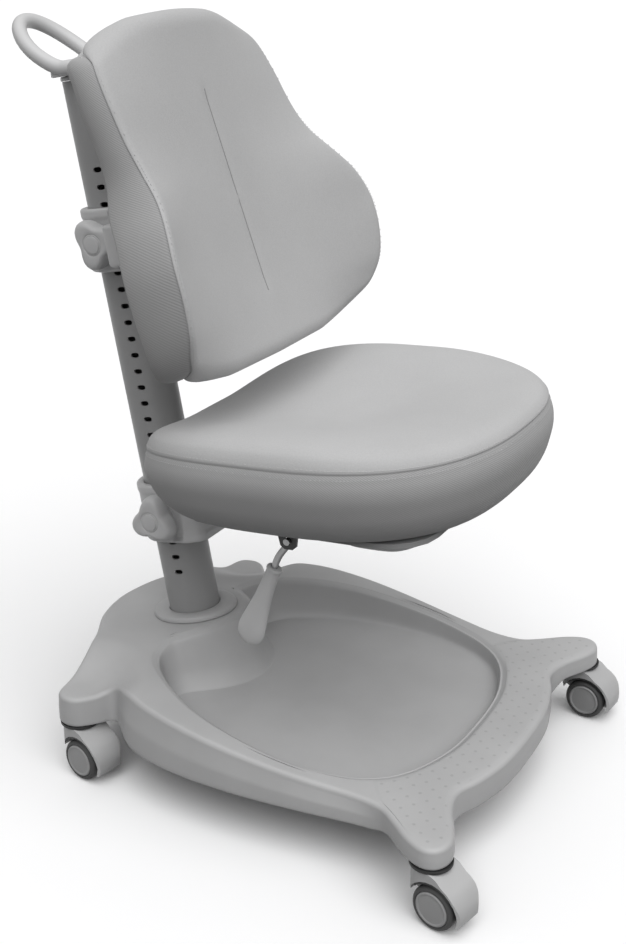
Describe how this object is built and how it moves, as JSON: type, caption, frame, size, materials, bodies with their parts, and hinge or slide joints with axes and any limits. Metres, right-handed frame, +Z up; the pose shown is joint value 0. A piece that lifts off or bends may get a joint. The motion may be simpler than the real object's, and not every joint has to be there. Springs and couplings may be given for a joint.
{
  "type": "height-adjustable study chair",
  "caption": "Child's study chair: a perforated leaning mast on a footrest tray with casters carries a height-adjustable seat and backrest, locked by knobs.",
  "frame": {"origin": "on the floor, midway between the casters' outermost edges", "axes": "+Z up, the sitter faces -Y and the sitter's right hand is at -X"},
  "size_m": [0.513, 0.708, 0.8667],
  "materials": {
    "moulded_grey": "smooth satin moulding",
    "trim_grey": "satin moulding",
    "disc_grey": "satin moulding",
    "mast_enamel": "satin powder coat",
    "black_steel": "satin black powder coat",
    "zinc_steel": "dull zinc plate",
    "panel_board": "board under black felt",
    "seat_fabric": "heather twill over foam",
    "tyre_grey": "matt elastomer tread"
  },
  "bodies": {
    "base": {"base_shell": "moulded_grey", "mast_collar": "moulded_grey", "mast_foot": "zinc_steel", "mast_tube": "mast_enamel", "mast_cap": "trim_grey", "handle_loop": "trim_grey", "front_right_caster_stem": "zinc_steel", "front_left_caster_stem": "zinc_steel", "rear_right_caster_stem": "zinc_steel", "rear_left_caster_stem": "zinc_steel"},
    "backrest": {"backrest_clamp": "trim_grey", "backrest_bracket": "trim_grey", "backrest_shell": "moulded_grey", "backrest_cushion": "seat_fabric"},
    "backrest_pin": {"backrest_lock_pin": "zinc_steel"},
    "backrest_grip": {"backrest_knob": "trim_grey", "backrest_knob_cap": "trim_grey"},
    "seat_carriage": {"seat_clamp": "trim_grey", "seat_arm": "black_steel", "seat_slide_plate": "black_steel"},
    "seat_pin": {"seat_lock_pin": "zinc_steel"},
    "seat_grip": {"seat_knob": "trim_grey", "seat_knob_cap": "trim_grey"},
    "seat": {"seat_panel": "panel_board", "seat_cushion": "seat_fabric", "seat_under_cover": "trim_grey", "seat_rail_left": "black_steel", "seat_rail_right": "black_steel", "lever_bracket": "black_steel", "lever_spring": "zinc_steel"},
    "lever": {"lever_shaft": "zinc_steel", "lever_rod": "zinc_steel", "lever_grip": "trim_grey"},
    "front_right_swivel": {"front_right_caster_hood": "moulded_grey", "front_right_caster_axle": "zinc_steel"},
    "front_right_outer_wheel": {"front_right_outer_tyre": "tyre_grey", "front_right_outer_disc": "disc_grey"},
    "front_right_inner_wheel": {"front_right_inner_tyre": "tyre_grey", "front_right_inner_disc": "disc_grey"},
    "front_left_swivel": {"front_left_caster_hood": "moulded_grey", "front_left_caster_axle": "zinc_steel"},
    "front_left_outer_wheel": {"front_left_outer_tyre": "tyre_grey", "front_left_outer_disc": "disc_grey"},
    "front_left_inner_wheel": {"front_left_inner_tyre": "tyre_grey", "front_left_inner_disc": "disc_grey"},
    "rear_right_swivel": {"rear_right_caster_hood": "moulded_grey", "rear_right_caster_axle": "zinc_steel"},
    "rear_right_outer_wheel": {"rear_right_outer_tyre": "tyre_grey", "rear_right_outer_disc": "disc_grey"},
    "rear_right_inner_wheel": {"rear_right_inner_tyre": "tyre_grey", "rear_right_inner_disc": "disc_grey"},
    "rear_left_swivel": {"rear_left_caster_hood": "moulded_grey", "rear_left_caster_axle": "zinc_steel"},
    "rear_left_outer_wheel": {"rear_left_outer_tyre": "tyre_grey", "rear_left_outer_disc": "disc_grey"},
    "rear_left_inner_wheel": {"rear_left_inner_tyre": "tyre_grey", "rear_left_inner_disc": "disc_grey"}
  },
  "joints": [
    {"name": "backrest_height", "type": "slide", "parent": "base", "child": "backrest", "axis": [0, 0.1814, 0.9834], "range_m": [-0.02, 0.08]},
    {"name": "backrest_pin_pull", "type": "slide", "parent": "backrest", "child": "backrest_pin", "axis": [-1, 0, 0], "range_m": [-0.0027, 0.006]},
    {"name": "backrest_knob_turn", "type": "hinge", "parent": "backrest_pin", "child": "backrest_grip", "pos_m": [-0.056, 0.21291, 0.6156], "axis": [-1, 0, 0], "range_deg": [0, 180]},
    {"name": "seat_height", "type": "slide", "parent": "base", "child": "seat_carriage", "axis": [0, 0.1814, 0.9834], "range_m": [-0.08, 0.02]},
    {"name": "seat_pin_pull", "type": "slide", "parent": "seat_carriage", "child": "seat_pin", "axis": [-1, 0, 0], "range_m": [-0.0027, 0.006]},
    {"name": "seat_knob_turn", "type": "hinge", "parent": "seat_pin", "child": "seat_grip", "pos_m": [-0.056, 0.15124, 0.28124], "axis": [-1, 0, 0], "range_deg": [0, 180]},
    {"name": "seat_depth", "type": "slide", "parent": "seat_carriage", "child": "seat", "axis": [0, -0.9963, 0.0854], "range_m": [-0.01, 0.05]},
    {"name": "lever_pull", "type": "hinge", "parent": "seat", "child": "lever", "pos_m": [-0.125, -0.08439, 0.33973], "axis": [-1, 0, 0], "range_deg": [0, 25], "stiffness_Nm_per_rad": 0.5, "springref_deg": -20.05},
    {"name": "front_right_swivel_turn", "type": "hinge", "parent": "base", "child": "front_right_swivel", "pos_m": [-0.231, -0.307, 0.0665], "axis": [0, 0, 1], "continuous": true},
    {"name": "front_right_outer_wheel_spin", "type": "hinge", "parent": "front_right_swivel", "child": "front_right_outer_wheel", "pos_m": [-0.23443, -0.32314, 0.0255], "axis": [0.9781, -0.2079, 0], "continuous": true},
    {"name": "front_right_inner_wheel_spin", "type": "hinge", "parent": "front_right_swivel", "child": "front_right_inner_wheel", "pos_m": [-0.23443, -0.32314, 0.0255], "axis": [0.9781, -0.2079, 0], "continuous": true},
    {"name": "front_left_swivel_turn", "type": "hinge", "parent": "base", "child": "front_left_swivel", "pos_m": [0.231, -0.307, 0.0665], "axis": [0, 0, 1], "continuous": true},
    {"name": "front_left_outer_wheel_spin", "type": "hinge", "parent": "front_left_swivel", "child": "front_left_outer_wheel", "pos_m": [0.22956, -0.32344, 0.0255], "axis": [0.9962, -0.0872, 0], "continuous": true},
    {"name": "front_left_inner_wheel_spin", "type": "hinge", "parent": "front_left_swivel", "child": "front_left_inner_wheel", "pos_m": [0.22956, -0.32344, 0.0255], "axis": [0.9962, -0.0872, 0], "continuous": true},
    {"name": "rear_right_swivel_turn", "type": "hinge", "parent": "base", "child": "rear_right_swivel", "pos_m": [-0.193, 0.174, 0.0665], "axis": [0, 0, 1], "continuous": true},
    {"name": "rear_right_outer_wheel_spin", "type": "hinge", "parent": "rear_right_swivel", "child": "rear_right_outer_wheel", "pos_m": [-0.19615, 0.1578, 0.0255], "axis": [0.9816, -0.1908, 0], "continuous": true},
    {"name": "rear_right_inner_wheel_spin", "type": "hinge", "parent": "rear_right_swivel", "child": "rear_right_inner_wheel", "pos_m": [-0.19615, 0.1578, 0.0255], "axis": [0.9816, -0.1908, 0], "continuous": true},
    {"name": "rear_left_swivel_turn", "type": "hinge", "parent": "base", "child": "rear_left_swivel", "pos_m": [0.193, 0.174, 0.0665], "axis": [0, 0, 1], "continuous": true},
    {"name": "rear_left_outer_wheel_spin", "type": "hinge", "parent": "rear_left_swivel", "child": "rear_left_outer_wheel", "pos_m": [0.1907, 0.15766, 0.0255], "axis": [0.9903, -0.1392, 0], "continuous": true},
    {"name": "rear_left_inner_wheel_spin", "type": "hinge", "parent": "rear_left_swivel", "child": "rear_left_inner_wheel", "pos_m": [0.1907, 0.15766, 0.0255], "axis": [0.9903, -0.1392, 0], "continuous": true}
  ]
}
